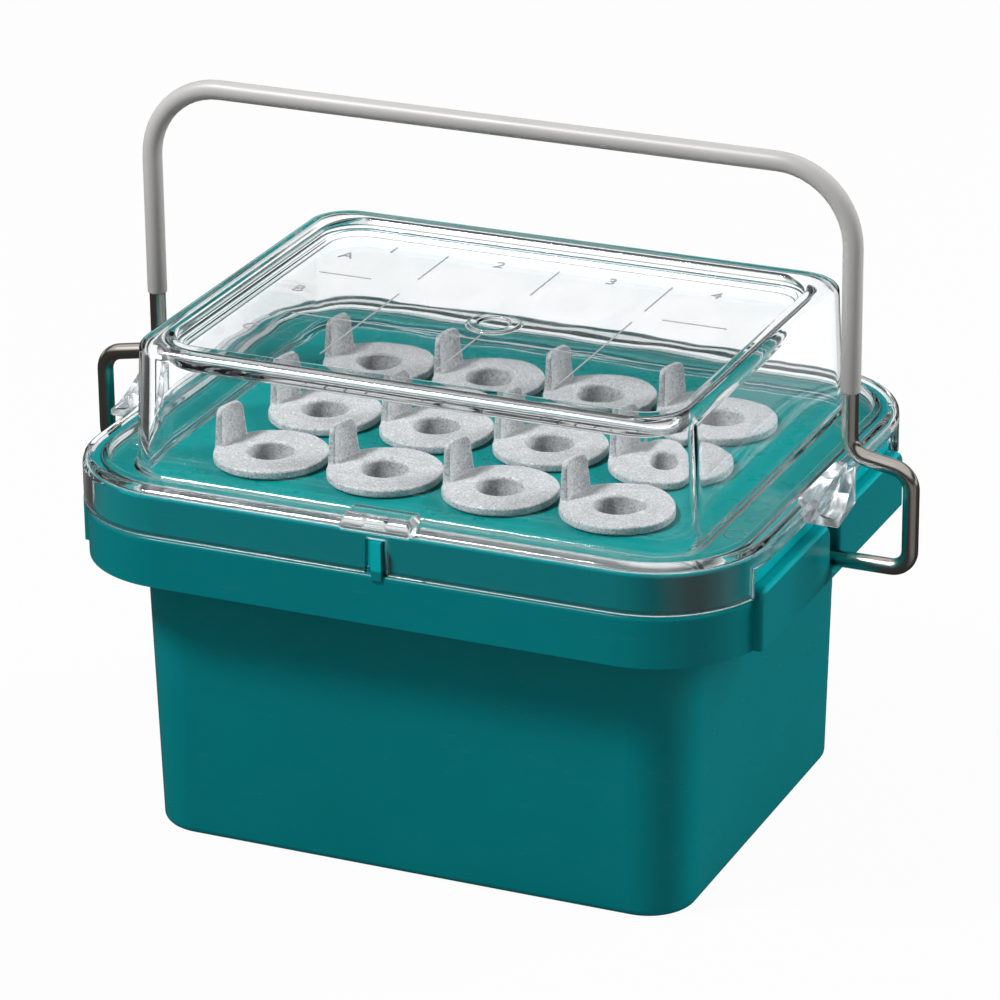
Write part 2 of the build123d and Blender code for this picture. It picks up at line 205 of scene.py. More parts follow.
@dataclass(frozen=True)
class Finish:
    """What every finish has: its name, its main colour, its least roughness and what wear adds to that."""

    name: str
    colour: Colour
    roughness: float = 0.3
    wear: float = 0.1
    clear: ClassVar[bool] = False

    def surface(self, paint: Paint) -> Sockets:
        """The values and wires of the Principled node's sockets."""
        raise NotImplementedError

    def worn(self, paint: Paint, value: Wire, low: float, high: float) -> Wire:
        """The roughness, which rises as the value goes from low to high."""
        return paint.ramp(value, low, high, self.roughness, self.roughness + self.wear)

    def material(self) -> bpy.types.Material:
        """Makes the material.

        Returns:
            The finish's surface, and where it is clear, one that the lamps' light passes.
        """
        paint = Paint(bpy.data.materials.new(self.name))
        shade = paint.out("ShaderNodeBsdfPrincipled", self.surface(paint))
        if self.clear:
            lamp_ray, = paint.light_path("Is Shadow Ray")
            passed = paint.out("ShaderNodeBsdfTransparent", {"Color": WHITE})
            shade = paint.out("ShaderNodeMixShader", {0: lamp_ray, 1: shade, 2: passed})
        paint.close("ShaderNodeOutputMaterial", shade)
        return paint.owner


@dataclass(frozen=True)
class GlossyMoulding(Finish):
    """Glossy injection-moulded plastic with a faint flow pattern and soft scuffs.

    Above a set height the colour is raised by a set gain: painted light, which makes the rim wall under the
    clear lid brighter.
    """

    roughness: float = 0.18
    wear: float = 0.12
    gloss: float = 0.1
    painted_light_from: float = 80.0
    painted_light_blend: float = 0.5
    painted_light_gain: float = 1.0

    def surface(self, paint: Paint) -> Sockets:
        """Sets a cloudy colour, painted brighter on the rim wall, with uneven gloss and a slight ripple.

        Args:
            paint: the material's nodes.

        Returns:
            The sockets.
        """
        here = paint.place()
        height = paint.axes(here)[2]
        # Painted light: from this height up the colour is brighter, in place of light on the rim wall under
        # the lid.
        painted_rim_light = paint.ramp(height, self.painted_light_from * MM, (self.painted_light_from + self.painted_light_blend) * MM)
        cloud = paint.noise(here, 60.0, 3.0)
        scuff = paint.noise(paint.place((1.0, 1.0, 3.0)), 9.0, 5.0, 0.65)
        ripple = paint.noise(here, 14.0, 2.0)
        cloudy = paint.shades(cloud, 0.3, 0.7, rgba(self.colour, 0.92), rgba(self.colour))
        return {
            "Base Color": paint.blend(painted_rim_light, cloudy, rgba(self.colour, self.painted_light_gain)),
            "Roughness": self.worn(paint, scuff, 0.35, 0.75),
            "Specular IOR Level": self.gloss,
            "Normal": paint.bump(ripple, 0.05, 0.6),
        }


@dataclass(frozen=True)
class ClearMoulding(Finish):
    """Clear polished plastic: it bends light, and wears to a soft haze."""

    roughness: float = 0.008
    wear: float = 0.02
    ior: float = 1.57
    clear: ClassVar[bool] = True

    def surface(self, paint: Paint) -> Sockets:
        """Sets full transmission with uneven gloss and slow waves.

        Args:
            paint: the material's nodes.

        Returns:
            The sockets.
        """
        here = paint.place()
        haze = paint.noise(here, 16.0, 4.0, 0.6)
        wave = paint.noise(here, 22.0, 1.0)
        return {
            "Base Color": rgba(self.colour),
            "Roughness": self.worn(paint, haze, 0.4, 0.8),
            "IOR": self.ior,
            "Transmission Weight": 1.0,
            "Normal": paint.bump(wave, 0.25, 0.5),
        }


@dataclass(frozen=True)
class SpeckledMoulding(Finish):
    """Matt light plastic with fine darker and lighter specks, like polished stone."""

    roughness: float = 0.42
    wear: float = 0.18

    def surface(self, paint: Paint) -> Sockets:
        """Sets shades of one colour, in soft clouds and fine specks.

        Args:
            paint: the material's nodes.

        Returns:
            The sockets.
        """
        here = paint.place()
        mottle = paint.noise(here, 2.2, 4.0, 0.75)
        specks = paint.noise(here, 0.45, 2.0, 0.6)
        flecks = paint.noise(paint.place((1.0, 1.0, 1.4)), 0.8, 1.0, 0.5)
        ground = paint.shades(mottle, 0.38, 0.62, rgba(self.colour, 0.78), rgba(self.colour))
        spotted = paint.blend(paint.ramp(specks, 0.5, 0.64, 0.0, 0.85), ground, rgba(self.colour, 0.42))
        flecked = paint.blend(paint.ramp(flecks, 0.6, 0.7, 0.0, 0.6), spotted, rgba(self.colour, 1.25))
        return {
            "Base Color": flecked,
            "Roughness": self.worn(paint, mottle, 0.3, 0.7),
            "Specular IOR Level": 0.35,
            "Normal": paint.bump(specks, 0.05, 0.5),
        }


@dataclass(frozen=True)
class SatinTube(Finish):
    """Satin plastic tube with fine lines along it."""

    roughness: float = 0.36

    def surface(self, paint: Paint) -> Sockets:
        """Sets an even colour with fine lines along the tube.

        Args:
            paint: the material's nodes.

        Returns:
            The sockets.
        """
        cloud = paint.noise(paint.place(), 25.0, 3.0)
        lines = paint.noise(paint.along((1.0, 0.03, 1.0)), 0.5, 3.0)
        return {
            "Base Color": paint.shades(cloud, 0.3, 0.7, rgba(self.colour, 0.93), rgba(self.colour)),
            "Roughness": self.worn(paint, lines, 0.3, 0.7),
            "Normal": paint.bump(lines, 0.015, 0.5),
        }


@dataclass(frozen=True)
class DrawnWire(Finish):
    """Bright stainless wire with the fine lines that drawing leaves along it."""

    roughness: float = 0.13
    wear: float = 0.12
    warm: Colour = (0.44, 0.39, 0.33)

    def surface(self, paint: Paint) -> Sockets:
        """Sets metal with lines along the wire and a warm cast in patches.

        Args:
            paint: the material's nodes.

        Returns:
            The sockets.
        """
        cast = paint.noise(paint.place(), 30.0, 2.0)
        lines = paint.noise(paint.along((1.0, 0.02, 1.0)), 0.6, 3.0, 0.6)
        return {
            "Base Color": paint.shades(cast, 0.35, 0.7, rgba(self.colour), rgba(self.warm)),
            "Metallic": 1.0,
            "Roughness": self.worn(paint, lines, 0.3, 0.7),
            "Normal": paint.bump(lines, 0.012, 0.5),
        }


@dataclass(frozen=True)
class FrozenGel(Finish):
    """Pale cloudy gel with ice veins."""

    roughness: float = 0.25
    wear: float = 0.25

    def surface(self, paint: Paint) -> Sockets:
        """Sets pale veins in a soft ground.

        Args:
            paint: the material's nodes.

        Returns:
            The sockets.
        """
        vein = paint.noise(paint.place(), 6.0, 5.0, 0.7)
        return {
            "Base Color": paint.shades(vein, 0.4, 0.6, rgba(self.colour), rgba(self.colour, 1.25)),
            "Roughness": self.worn(paint, vein, 0.3, 0.7),
            "Normal": paint.bump(vein, 0.2, 0.5),
        }


@dataclass(frozen=True)
class MarkFace(Finish):
    """A raised mark on the clear roof, painted grey: painted shade in place of the dark and pale edges of
    clear raised strokes, so it shows grey on white and pale on teal.
    """

    wear: float = 0.2
    cover: float = 0.75

    def surface(self, paint: Paint) -> Sockets:
        """Sets a grey painted shade with a fine grain.

        Args:
            paint: the material's nodes.

        Returns:
            The sockets.
        """
        grain = paint.noise(paint.place(), 0.4, 3.0)
        return {
            "Base Color": paint.shades(grain, 0.3, 0.7, rgba(self.colour, 0.8), rgba(self.colour)),
            "Roughness": self.worn(paint, grain, 0.3, 0.7),
            "Alpha": self.cover,
        }


# The gain of 2.0 on the tub paints the rim wall under the lid twice as bright: painted light.
TEAL = GlossyMoulding("teal_moulding", (0.0, 0.147, 0.16), painted_light_gain=2.0)
DECK_TEAL = GlossyMoulding("teal_deck", (0.0, 0.255, 0.25), roughness=0.25)
CLEAR = ClearMoulding("clear_lid", (0.985, 0.995, 1.0))
FROSTED = ClearMoulding("frosted_ear", (0.9, 0.92, 0.95), roughness=0.15)
GRANITE = SpeckledMoulding("speckled_holder", (0.66, 0.68, 0.7))
GRIP = SatinTube("grip_tube", (0.4, 0.395, 0.385))
STEEL = DrawnWire("stainless_wire", (0.52, 0.5, 0.47))
GEL = FrozenGel("cooling_gel", (0.62, 0.72, 0.78))
PLUG = GlossyMoulding("plug_plastic", (0.01, 0.1, 0.11), roughness=0.35)
# The marks' grey is painted shade, standing in for the edges of clear raised strokes.
MARK = MarkFace("mark_painted_shade", (0.36, 0.38, 0.39))


def stand(name: str, data: bpy.types.ID) -> bpy.types.Object:
    """Puts a new object into the scene, and reports it.

    Args:
        name: its name.
        data: its mesh, light or camera.

    Returns:
        The object.
    """
    made = bpy.data.objects.new(name, data)
    bpy.context.scene.collection.objects.link(made)
    LOG.info("%s added", name)
    return made


def coat(piece: bpy.types.Object, material: bpy.types.Material) -> None:
    """Puts the material in every slot of the piece.

    Args:
        piece: the object to dress.
        material: its finish.
    """
    if not piece.data.materials:
        piece.data.materials.append(material)
    for slot in piece.material_slots:
        slot.material = material


class Row:
    """The columns of a row table: half length, half width, corner radius and height."""

    PLANE = [0, 3]
    WIDTH = 4


def soften(
    corners: np.ndarray, radii: np.ndarray, steps: int = 5, most: float = 0.45, guide: float = 0.3
) -> np.ndarray:
    """Rounds the corners of a profile, and sets a guide row close to each end of every straight run.

    With e1 and e2 the directions from a corner to its neighbours, a the angle between them and t the
    distance from the corner to where the arc starts, an arc point is corner + p * e1 + q * e2, where
    q = r * (1 - cos s) / sin a and p = t - r * sin s - q * cos a, for s from 0 to pi - a.

    Args:
        corners: rows of half length, half width, corner radius and height.
        radii: the rounding at each row; the two end rows stay as they are.
        steps: how many runs make one arc.
        most: the largest share of a run that one arc takes.
        guide: how far a guide row is from the end of its run, in millimetres or as a share if less.

    Returns:
        The rounded rows.
    """
    here = corners[1:-1]
    back, ahead = corners[:-2] - here, corners[2:] - here
    long1 = np.linalg.norm(back[:, Row.PLANE], axis=1)[:, None]
    long2 = np.linalg.norm(ahead[:, Row.PLANE], axis=1)[:, None]
    e1, e2 = back / long1, ahead / long2
    cosine = np.clip((e1[:, Row.PLANE] * e2[:, Row.PLANE]).sum(1, keepdims=True), TINY - 1, 1 - TINY)
    angle = np.arccos(cosine)
    start = np.minimum(radii[1:-1, None] / np.tan(angle / 2), most * np.minimum(long1, long2))
    radius = start * np.tan(angle / 2)
    turn = np.linspace(0.0, 1.0, steps + 1) * (np.pi - angle)
    q = radius * (1 - np.cos(turn)) / np.sin(angle)
    p = start - radius * np.sin(turn) - q * cosine
    arcs = here[:, None] + p[..., None] * e1[:, None] + q[..., None] * e2[:, None]
    ends = np.concatenate([corners[:1], arcs[:, -1]])
    run = np.concatenate([arcs[:, 0], corners[-1:]]) - ends
    span = np.linalg.norm(run[:, Row.PLANE], axis=1)[:, None]
    inset = run * np.minimum(guide, guide / np.maximum(span, TINY))
    guides = np.stack([ends + inset, ends + run - inset], axis=1)
    body = np.concatenate([guides[:-1], arcs], axis=1).reshape(-1, Row.WIDTH)
    return np.concatenate([corners[:1], body, guides[-1], corners[-1:]])


def ring_columns(
    along_side: Sequence[float], turn: Sequence[float], along_front: Sequence[float]
) -> np.ndarray:
    """Columns of a rounded rectangle, from the middle of its right side, anticlockwise.

    Args:
        along_side: shares from 0 to less than 1 of the straight part of a short side.
        turn: angles of the corner's columns, in degrees, from 0 to 90.
        along_front: shares from less than 1 down to 0 of the straight part of a long side.

    Returns:
        Four rows, for a point x = (half_x - r) * cx + r * cos t, y = (half_y - r) * cy + r * sin t:
        cx, cy, cos t and sin t.
    """
    angles = np.radians(np.concatenate([np.zeros(len(along_side)), turn, np.full(len(along_front), 90.0)]))
    cx = np.concatenate([np.ones(len(along_side) + len(turn)), along_front])
    cy = np.concatenate([along_side, np.ones(len(turn) + len(along_front))])
    quarter = np.stack([cx, cy, np.cos(angles), np.sin(angles)])
    forth, back = quarter[:, :-1], quarter[:, :0:-1]
    signs = [(1, 1), (-1, 1), (-1, -1), (1, -1)]
    parts = [np.array([[sx], [sy], [sx], [sy]]) * part for (sx, sy), part in zip(signs, (forth, back) * 2)]
    return np.concatenate(parts, axis=1)


def ring_grid(rows: np.ndarray, columns: np.ndarray) -> np.ndarray:
    """Points of a family of rounded rectangles.

    Args:
        rows: half length, half width, corner radius and height: one for each row, or one for each point.
        columns: cx, cy, cos t and sin t of each column, from ring_columns.

    Returns:
        A grid of points in millimetres, row by column by 3.
    """
    each = rows if rows.ndim == 3 else rows[:, None, :]
    half_x, half_y, corner, height = (each[..., k] for k in range(Row.WIDTH))
    cx, cy, cos_t, sin_t = columns
    x = (half_x - corner) * cx + corner * cos_t
    y = (half_y - corner) * cy + corner * sin_t
    return np.stack([x, y, np.broadcast_to(height, x.shape)], axis=2)


def circle_columns(steps: int) -> np.ndarray:
    """Columns of a circle, with that many steps to a quarter of it."""
    return ring_columns([], np.linspace(0.0, 90.0, steps + 1), [])


def circle_rows(profile: Sequence[tuple[float, float]]) -> np.ndarray:
    """Rows of a turned piece, whose rings are circles, from the radius and height of each."""
    return np.array([(radius, radius, radius, height) for radius, height in profile])


def moulded(name: str, grids: Sequence[np.ndarray]) -> bpy.types.Object:
    """Makes one piece from closed grids.

    Each grid closes along its columns, and its end rows shrink to a point or a line, or meet. Points in
    one place become one, and the faces are turned outwards. The u of a face's corners is the sum of the
    widest steps round the grid up to there, and v is the same along it.

    Args:
        name: the piece's name.
        grids: points in millimetres, row by column by 3.

    Returns:
        The object, with a UV map of lengths along the columns and the rows, in metres.
    """
    quads, maps, first = [], [], 0
    for grid in grids:
        rows, columns = grid.shape[:2]
        index = first + np.arange(rows * columns).reshape(rows, columns)
        low, high = index[:-1], index[1:]
        quads.append(np.stack([low, np.roll(low, -1, 1), np.roll(high, -1, 1), high], axis=2).reshape(-1, 4))
        around = np.linalg.norm(np.diff(grid, axis=1, append=grid[:, :1]), axis=2).max(axis=0)
        across = np.linalg.norm(np.diff(grid, axis=0), axis=2).max(axis=1)
        u, v = (np.concatenate([[0.0], np.cumsum(step)]) * MM for step in (around, across))
        row, column = np.divmod(np.arange(len(quads[-1])), columns)
        left, right, under, over = u[column], u[column + 1], v[row], v[row + 1]
        maps.append(np.stack([left, under, right, under, right, over, left, over], axis=1))
        first += rows * columns
    corners = np.concatenate(quads).astype(np.int32)
    points = np.concatenate([grid.reshape(-1, 3) for grid in grids]) * MM
    mesh = bpy.data.meshes.new(name)
    mesh.vertices.add(len(points))
    mesh.vertices.foreach_set("co", points.astype(np.float32).ravel())
    mesh.loops.add(corners.size)
    mesh.loops.foreach_set("vertex_index", corners.ravel())
    mesh.polygons.add(len(corners))
    mesh.polygons.foreach_set("loop_start", np.arange(0, corners.size, 4, dtype=np.int32))
    mesh.polygons.foreach_set("use_smooth", np.full(len(corners), True))
    mesh.uv_layers.new(name="UVMap").uv.foreach_set("vector", np.concatenate(maps).astype(np.float32).ravel())
    mesh.update(calc_edges=True)
    work = bmesh.new()
    work.from_mesh(mesh)
    bmesh.ops.remove_doubles(work, verts=work.verts[:], dist=SAME_PLACE)
    bmesh.ops.recalc_face_normals(work, faces=work.faces[:])
    work.to_mesh(mesh)
    work.free()
    return stand(name, mesh)


@dataclass(frozen=True)
class Holder:
    """A flanged sleeve with a thumb tab, in place of one insert node."""

    bore: float = 5.45
    lip: float = 0.8
    sleeve: float = 6.8
    sleeve_length: float = 10.0
    flange: float = 13.3
    thickness: float = 2.1
    edge: float = 0.5
    fall: float = 0.15
    tab_direction: float = 168.0
    tab_half_width: float = 5.2
    tab_thickness: float = 1.7
    tab_taper: float = 0.4
    tab_lean: float = 7.0
    tab_corner: float = 1.8
    tab_root: float = 0.9
    tab_crown: float = 0.4
    tab_edge: float = 0.32
    tab_spread: float = 0.25
    tab_inset: float = 0.02
    near_half: float = 0.49
    sunk: float = 0.45

    def body(self, foot: float) -> np.ndarray:
        """The turned sleeve and flange, as a closed loop of rows.

        Args:
            foot: the height of the sleeve's lower end.

        Returns:
            The grid round the Z axis.
        """
        under = foot + self.sleeve_length
        top = under + self.thickness
        start = (self.bore, foot + self.sleeve_length / 2)
        corners = circle_rows([
            start, (self.bore, foot), (self.sleeve, foot), (self.sleeve, under),
            (self.flange, under), (self.flange, top - self.fall), (self.bore, top), start,
        ])
        radii = np.array([0.0, 0.3, 0.3, 0.2, self.edge, self.edge, self.lip, 0.0])
        return ring_grid(soften(corners, radii), circle_columns(14))

    def tab(self, foot: float, tip: float) -> np.ndarray:
        """The thumb tab: a tapered blade that follows the flange's edge and widens at its root.

        At the height h over the flange, the half width is w = w0 - h * tan(lean), less the rounding of
        the upper corners, and the blade bends round the flange: a point that lies a along it and n
        outwards has the angle a / r and the radius r + n.

        Args:
            foot: the height of the sleeve's lower end.
            tip: the height of the tab's top.

        Returns:
            The grid round the holder's axis.
        """
        top = foot + self.sleeve_length + self.thickness - self.fall
        height = tip - top
        low = np.array([-self.sunk, -self.sunk, 0.0])
        root = self.tab_root * (1 - np.cos(np.linspace(0.0, math.pi / 2, 7)[1:]))
        middle = np.linspace(self.tab_root, height - self.tab_corner, 6)[1:-1]
        crown = height - self.tab_corner * (1 - np.sin(np.linspace(0.0, math.pi / 2, 12)))
        level = np.concatenate([low, root, middle, crown])
        over = np.clip(level - (height - self.tab_corner), 0.0, self.tab_corner)
        cut = self.tab_corner - np.sqrt(self.tab_corner**2 - over**2)
        left = self.tab_root - np.clip(level, 0.0, self.tab_root)
        flare = self.tab_root - np.sqrt(self.tab_root**2 - left**2)
        close = np.clip((level - height) / self.tab_crown + 1, 0.0, 1.0)
        thick = (self.tab_thickness - self.tab_taper * level / height) * np.sqrt(1 - close**2)
        thick[0] = 0.0
        half = self.tab_half_width - np.clip(level, 0.0, None) * math.tan(math.radians(self.tab_lean)) - cut
        body = np.where(thick > 0, 1.0, 0.0)
        deep = thick + flare * body
        corner = np.minimum(self.tab_edge, self.near_half * deep)
        rows = np.stack([half + self.tab_spread * flare, deep / 2, corner, top + level], axis=1)
        columns = ring_columns([], np.linspace(0.0, 90.0, 6), [0.97, *np.linspace(0.9, 0.0, 8)])
        grid = ring_grid(rows, columns)
        middle_radius = self.flange - self.tab_inset - self.tab_thickness / 2
        angle = math.radians(self.tab_direction) - grid[..., 0] / middle_radius
        radius = middle_radius - (flare * body)[:, None] / 2 + grid[..., 1]
        return np.stack([radius * np.cos(angle), radius * np.sin(angle), grid[..., 2]], axis=2)

    def build(self, place: str) -> None:
        """Builds the holder of one place.

        Args:
            place: the row's letter and the column's number.
        """
        node = f"insert_{place}"
        low, high = np.array(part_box(node)) / MM
        centre = np.array([low[0] + high[0], low[1] + high[1], 0.0]) / 2
        grids = [self.body(low[2]) + centre, self.tab(low[2], high[2]) + centre]
        piece = moulded(f"holder_{place}", grids)
        coat(piece, bpy.data.materials[GRANITE.name])
        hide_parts(node)
        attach(piece, f"holder_{place}")


@dataclass(frozen=True)
class Bail:
    """The handle: one bent wire, and a grip sleeve over its legs and bar."""

    wire: float = 1.9
    grip: float = 2.3
    grip_bore: float = 1.94
    pin: float = 73.7
    leg: float = 86.2
    loop: float = 100.9
    pivot: float = 71.4
    jog_low: float = 23.2
    jog_high: float = 25.8
    bar: float = 91.9
    grip_start: float = 40.4
    loop_r: float = 4.4
    jog_r: float = 5.0
    bar_r: float = 18.0
    end_round: float = 0.8
    grip_edge: float = 0.12
    round_steps: int = 24

    def tube(self, path: np.ndarray, order: np.ndarray, radius: np.ndarray) -> np.ndarray:
        """A round tube along a path in the plane y = 0: a point is c + r * (cos a * n + sin a * y).

        Args:
            path: x and z of the middle line.
            order: which path points the rows stand at.
            radius: the radius of each row.

        Returns:
            The grid.
        """
        tangent = np.gradient(path, axis=0)
        tangent /= np.linalg.norm(tangent, axis=1)[:, None]
        turn = np.linspace(0.0, 2 * math.pi, self.round_steps, endpoint=False)
        side = radius[:, None] * np.cos(turn)
        centre, normal = path[order], np.stack([-tangent[:, 1], tangent[:, 0]], axis=1)[order]
        x = centre[:, :1] + side * normal[:, :1]
        z = centre[:, 1:] + side * normal[:, 1:]
        return np.stack([x, radius[:, None] * np.sin(turn), z], axis=2)

    def route(self, right: Sequence[tuple[float, float, float]]) -> np.ndarray:
        """The middle line from the right-hand points and their mirror images.

        Args:
            right: x, the rise over the pivot and the bend radius of each point on the right.

        Returns:
            x and z of the rounded line.
        """
        half = np.array(right)
        whole = np.concatenate([half, half[::-1] * (-1, 1, 1)])
        rows = np.zeros((len(whole), Row.WIDTH))
        rows[:, 0], rows[:, 3] = whole[:, 0], whole[:, 1] + self.pivot
        return soften(rows, whole[:, 2], 12)[:, Row.PLANE]

    def build(self) -> None:
        """Builds the wire and the grip."""
        path = self.route([
            (self.pin, 0.0, 0.0), (self.loop, 0.0, self.loop_r), (self.loop, self.jog_low, self.jog_r),
            (self.leg, self.jog_high, self.jog_r), (self.leg, self.bar, self.bar_r),
        ])
        last = len(path) - 1
        order = np.concatenate([[0, 0], np.arange(1, last), [last, last]])
        radius = np.full(len(order), self.wire)
        radius[[0, -1]], radius[[1, -2]] = 0.0, self.end_round * self.wire
        self.place("wire", self.tube(path, order, radius), "bail_wire", STEEL, "steel_wire")
        path = self.route([(self.leg, self.grip_start, 0.0), (self.leg, self.bar, self.bar_r)])
        last = len(path) - 1
        there = np.arange(last + 1)
        order = np.concatenate([there, there[::-1], [0]])
        radius = np.where(np.arange(len(order)) <= last, self.grip, self.grip_bore)
        radius[[0, last, -1]] = self.grip - self.grip_edge
        self.place("grip", self.tube(path, order, radius), "bail_grip", GRIP, "grip_grey")

    def place(self, name: str, grid: np.ndarray, node: str, finish: Finish, slot: str) -> None:
        """Makes one piece of the handle.

        Args:
            name: the piece's name.
            grid: its points.
            node: the CAD node that it stands for.
            finish: its finish.
            slot: the record's material slot; not used.
        """
        piece = moulded(name, [grid])
        coat(piece, finish.material())
        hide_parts(node)
        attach(piece, "handle")


class Side(Enum):
    """The two short sides."""

    LEFT = -1
    RIGHT = 1


@dataclass(frozen=True)
class Lid:
    """The clear lid: skirt, ridge and flange, and a dome whose roof is sunk inside a hollow bead."""

    half: tuple[float, float] = (82.85, 65.75)
    corner: float = 26.85
    wall: float = 1.9
    ridge: float = 6.3
    channel: float = 2.8
    foot: float = 79.5
    underside: float = 87.1
    channel_top: float = 89.05
    flange_top: float = 89.2
    crest: float = 91.25
    side_notch: float = 86.45
    side_notch_turn: float = 16.65
    key_notch: float = 87.8
    key_half_width: float = 2.5
    hood_half_width: float = 8.5
    hood_end: float = 0.8
    hood_rise: float = 1.6
    hood_depth: float = 1.1
    dome: tuple[float, float] = (68.5, 54.0)
    dome_corner: float = 10.5
    dome_top: float = 119.3
    lean: float = 1.5
    dome_wall: float = 2.3
    bead: float = 6.2
    step: float = 1.8
    step_depth: float = 2.4
    panel_depth: float = 3.7
    panel_corner: float = 7.5
    panel_margin: float = 1.5
    roof: float = 2.2
    groove_top: float = 117.3
    groove_wall: float = 1.7
    disc: float = 6.2
    disc_height: float = 0.5
    disc_margin: float = 1.5
    disc_lean: float = 0.2
    dimple: float = 3.6
    dimple_lean: float = 0.3
    pin: tuple[float, float, float] = (72.9, 35.4, 2.6)
    pin_foot: tuple[float, float] = (0.25, -0.1)
    pin_shoulder: tuple[float, float] = (0.15, 0.08)
    pin_crest: float = 0.12

    def ring(self, inset: float, height: float) -> RingRow:
        """A row of the skirt, the ridge or the flange, that far in from the lid's outside."""
        return self.half[0] - inset, self.half[1] - inset, self.corner - inset, height

    def dome_ring(self, inset: float, height: float) -> RingRow:
        """A row that far in from the dome's outside, which leans in as it rises."""
        lean = self.lean * (height - self.underside) / (self.dome_top - self.underside)
        return tuple(size - inset - lean for size in (*self.dome, self.dome_corner)) + (height,)

    def panel_ring(self, inset: float, height: float) -> RingRow:
        """A row of the sunk panel, that far in from its edge."""
        edge = self.lean + self.bead + self.step + inset
        return self.dome[0] - edge, self.dome[1] - edge, self.panel_corner - inset, height

    def profile(self, foot: float, rise: float = 0.0, deeper: float = 0.0) -> np.ndarray:
        """The rows from the roof's underside, down the inside and up the outside to the panel.

        Args:
            foot: the height of the skirt's lower edge.
            rise: how much higher the ridge is.
            deeper: how much wider the ridge is.

        Returns:
            The rounded rows.
        """
        panel = self.dome_top - self.panel_depth
        under = panel - self.roof
        groove = -(self.step + self.groove_wall)
        inner = self.wall + self.channel
        ridge = self.ridge + deeper
        table = [
            (self.panel_ring(self.panel_margin, under), 0.0),
            (self.panel_ring(groove, under), 0.9),
            (self.panel_ring(groove, self.groove_top), 0.9),
            (self.dome_ring(self.dome_wall, self.groove_top), 0.9),
            (self.dome_ring(self.dome_wall, self.underside), 0.9),
            (self.ring(inner, self.underside), 0.3),
            (self.ring(inner, self.channel_top), 0.3),
            (self.ring(self.wall, self.channel_top), 0.3),
            (self.ring(self.wall, foot), 0.4),
            (self.ring(0.0, foot), 0.4),
            (self.ring(0.0, self.crest + rise), 2.4),
            (self.ring(ridge, self.crest + rise), 1.0),
            (self.ring(ridge, self.flange_top), 0.5),
            (self.dome_ring(0.0, self.flange_top), 1.5),
            (self.dome_ring(0.0, self.dome_top), 2.2),
            (self.panel_ring(-self.step, self.dome_top), 1.2),
            (self.panel_ring(-self.step, self.dome_top - self.step_depth), 0.6),
            (self.panel_ring(0.0, self.dome_top - self.step_depth), 0.6),
            (self.panel_ring(0.0, panel), 0.5),
            (self.panel_ring(self.panel_margin, panel), 0.0),
        ]
        corners = np.array([row for row, _ in table])
        return soften(corners, np.array([radius for _, radius in table]))

    def shell(self) -> np.ndarray:
        """The lid's closed surface, with its notches and the hood over the front key.

        Where a notch or the hood is, a row is plain + share * (its own profile - plain), with a share of
        one inside and zero outside. The panel's middle goes over into circles round the disc.

        Returns:
            The grid.
        """
        turn = self.side_notch_turn
        span = self.half[0] - self.corner
        key, hood = self.key_half_width / span, self.hood_half_width / span
        end = self.hood_end / span
        # Columns close to both sides of where a notch or the hood ends, which keep its edge crisp.
        at_notch_end = turn + np.array([-1.2, -0.35, 0.35, 1.2])
        at_hood_end = [hood + 0.02, hood + 0.003, hood, hood - end, hood - end - 0.01, 0.09]
        at_key_end = [key + 0.012, key + 0.002, key - 0.002, key - 0.012, 0.015, 0.0]
        columns = ring_columns(
            np.linspace(0.0, 0.97, 9),
            np.concatenate([[0, 6, 12], at_notch_end, np.linspace(24, 90, 11)]),
            np.concatenate([np.linspace(0.97, 0.25, 8), at_hood_end, at_key_end]),
        )
        cx, _, cos_t, sin_t = columns
        front = sin_t < TINY - 1
        at_side = np.abs(cos_t) > math.cos(math.radians(turn))
        at_key = front & (np.abs(cx) < key)
        at_hood = np.where(front, np.clip((hood - np.abs(cx)) / end, 0.0, 1.0), 0.0)
        plain = self.profile(self.foot)
        rows = np.broadcast_to(plain[:, None], (len(plain), len(cx), Row.WIDTH)).copy()
        for share, profile in (
            (at_side, self.profile(self.side_notch)),
            (at_key, self.profile(self.key_notch)),
            (at_hood, self.profile(self.foot, self.hood_rise, self.hood_depth)),
        ):
            rows += share[:, None] * (profile - plain)[:, None]
        panel = self.dome_top - self.panel_depth
        high = panel + self.disc_height
        below = circle_rows([(0.0, plain[0, 3]), (4.0, plain[0, 3])])
        disc = soften(
            circle_rows([
                (self.disc + self.disc_margin, panel), (self.disc, panel), (self.disc - self.disc_lean, high),
                (self.dimple + self.dimple_lean, high), (self.dimple, panel), (1.0, panel),
            ]),
            np.array([0.0, 0.3, 0.25, 0.25, 0.2, 0.0]),
            3,
        )
        pole = circle_rows([(0.0, panel)])
        share = np.linspace(0.0, 1.0, 9)[1:-1, None]
        inside = below[-1] + share * (plain[0] - below[-1])
        outside = plain[-1] + share * (disc[0] - plain[-1])
        start = ring_grid(np.concatenate([below, inside]), columns)
        finish = ring_grid(np.concatenate([outside, disc, pole]), columns)
        return np.concatenate([start, ring_grid(rows, columns), finish])

    def pin_mark(self, x: float, y: float, radius: float) -> np.ndarray:
        """The low ring that an ejector pin leaves on the flange.

        Args:
            x: where its middle is.
            y: where its middle is.
            radius: its radius.

        Returns:
            The grid, a closed loop of rows.
        """
        (foot, sunk), (shoulder, side) = self.pin_foot, self.pin_shoulder
        section = [
            (0.0, sunk), (-foot, sunk), (-shoulder, side), (0.0, self.pin_crest),
            (shoulder, side), (foot, sunk), (0.0, sunk),
        ]
        rows = circle_rows([(radius + out, self.flange_top + rise) for out, rise in section])
        return ring_grid(rows, circle_columns(8)) + np.array([x, y, 0.0])

